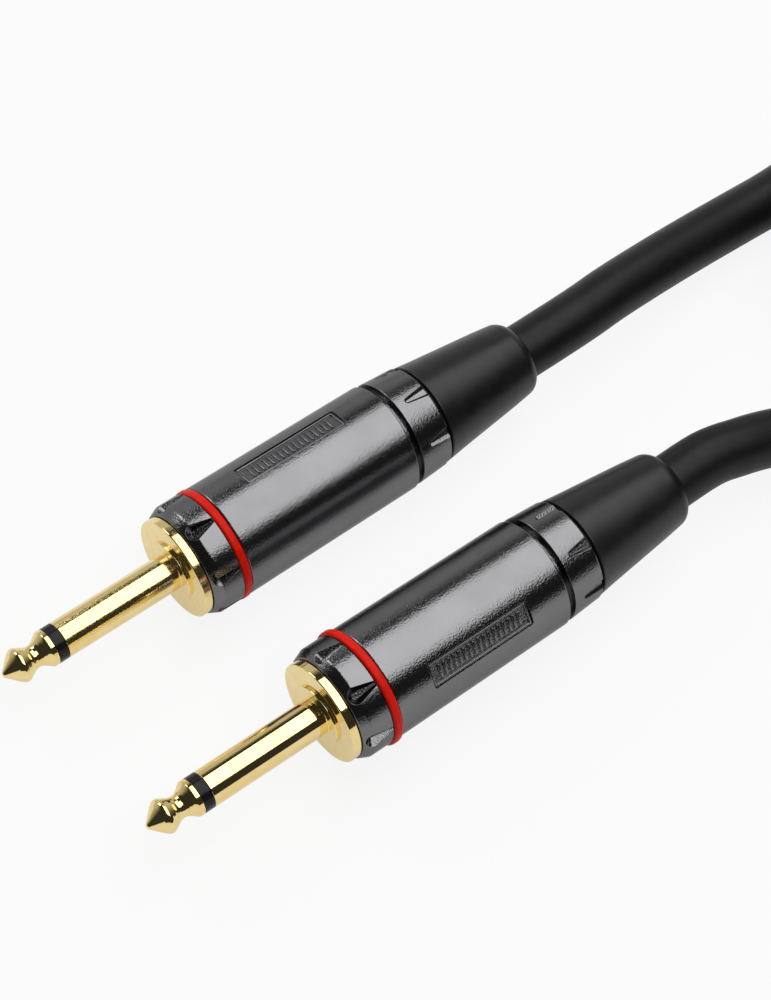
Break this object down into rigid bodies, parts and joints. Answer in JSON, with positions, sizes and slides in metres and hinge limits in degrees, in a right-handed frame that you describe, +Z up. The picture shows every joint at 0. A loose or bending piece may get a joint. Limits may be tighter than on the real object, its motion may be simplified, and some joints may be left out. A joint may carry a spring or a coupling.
{
  "type": "instrument cable",
  "caption": "Instrument cable with a 6.35 mm mono jack plug on each end: gold contacts, screw-on black shells, coloured rings, rubber boots, and the spare lead tied in a hank.",
  "frame": {"origin": "under the middle of the box around the two plugs, on the surface they lie on", "axes": "+X from the plugs' tips towards their boots and the hank, +Z up, +Y from the second plug to the first"},
  "size_m": [0.3263, 0.0955, 0.0458],
  "materials": {
    "gold": "polished gold plate on turned brass",
    "black_insulator": "moulded, glossy",
    "core_insulation": "extruded polyethylene",
    "copper": "bare stranded copper",
    "solder": "bright solder",
    "clear_liner": "translucent thin tube",
    "chuck_plastic": "moulded nylon",
    "black_lacquer": "satin black lacquer on die-cast zinc",
    "red_rubber": "satin rubber",
    "black_rubber": "matte rubber",
    "cable_jacket": "matte extruded jacket",
    "tie_fabric": "woven hook-and-loop strap"
  },
  "bodies": {
    "root": {"cable_hank": "cable_jacket", "cable_tie": "tie_fabric", "tip_contact_a": "gold", "tip_insulator_a": "black_insulator", "sleeve_contact_a": "gold", "rear_insulator_a": "black_insulator", "tip_terminal_a": "gold", "ground_terminal_a": "gold", "core_wire_a": "core_insulation", "shield_wire_a": "copper", "solder_a": "solder", "cable_end_a": "cable_jacket", "cable_run_a": "cable_jacket", "tip_contact_b": "gold", "tip_insulator_b": "black_insulator", "sleeve_contact_b": "gold", "rear_insulator_b": "black_insulator", "tip_terminal_b": "gold", "ground_terminal_b": "gold", "core_wire_b": "core_insulation", "shield_wire_b": "copper", "solder_b": "solder", "cable_end_b": "cable_jacket", "cable_run_b": "cable_jacket"},
    "carrier_a": {"liner_a": "clear_liner", "chuck_a": "chuck_plastic"},
    "shell_a": {"shell_a": "black_lacquer", "colour_ring_a": "red_rubber"},
    "boot_a": {"boot_a": "black_rubber"},
    "collar_a": {"collar_a": "black_lacquer"},
    "carrier_b": {"liner_b": "clear_liner", "chuck_b": "chuck_plastic"},
    "shell_b": {"shell_b": "black_lacquer", "colour_ring_b": "red_rubber"},
    "boot_b": {"boot_b": "black_rubber"},
    "collar_b": {"collar_b": "black_lacquer"}
  },
  "joints": [
    {"name": "chuck_slide_a", "type": "slide", "parent": "root", "child": "carrier_a", "axis": [1, 0, 0], "range_m": [0, 0.004]},
    {"name": "shell_turn_a", "type": "hinge", "parent": "carrier_a", "child": "shell_a", "pos_m": [0, 0.0185, 0.0101], "axis": [1, 0, 0], "range_deg": [0, 1440]},
    {"name": "boot_slide_a", "type": "slide", "parent": "shell_a", "child": "boot_a", "axis": [1, 0, 0], "range_m": [0, 0.0035]},
    {"name": "collar_turn_a", "type": "hinge", "parent": "boot_a", "child": "collar_a", "pos_m": [0, 0.0185, 0.0101], "axis": [1, 0, 0], "range_deg": [0, 1260]},
    {"name": "chuck_slide_b", "type": "slide", "parent": "root", "child": "carrier_b", "axis": [1, 0, 0], "range_m": [0, 0.004]},
    {"name": "shell_turn_b", "type": "hinge", "parent": "carrier_b", "child": "shell_b", "pos_m": [0, -0.0182, 0.0104], "axis": [1, 0, 0], "range_deg": [0, 1440]},
    {"name": "boot_slide_b", "type": "slide", "parent": "shell_b", "child": "boot_b", "axis": [1, 0, 0], "range_m": [0, 0.0035]},
    {"name": "collar_turn_b", "type": "hinge", "parent": "boot_b", "child": "collar_b", "pos_m": [0, -0.0182, 0.0104], "axis": [1, 0, 0], "range_deg": [0, 1260]}
  ],
  "couplings": [
    {"joint": "chuck_slide_a", "follows": "shell_turn_a", "m_per_rad": 0.00015915},
    {"joint": "boot_slide_a", "follows": "collar_turn_a", "m_per_rad": 0.00015915},
    {"joint": "chuck_slide_b", "follows": "shell_turn_b", "m_per_rad": 0.00015915},
    {"joint": "boot_slide_b", "follows": "collar_turn_b", "m_per_rad": 0.00015915}
  ]
}
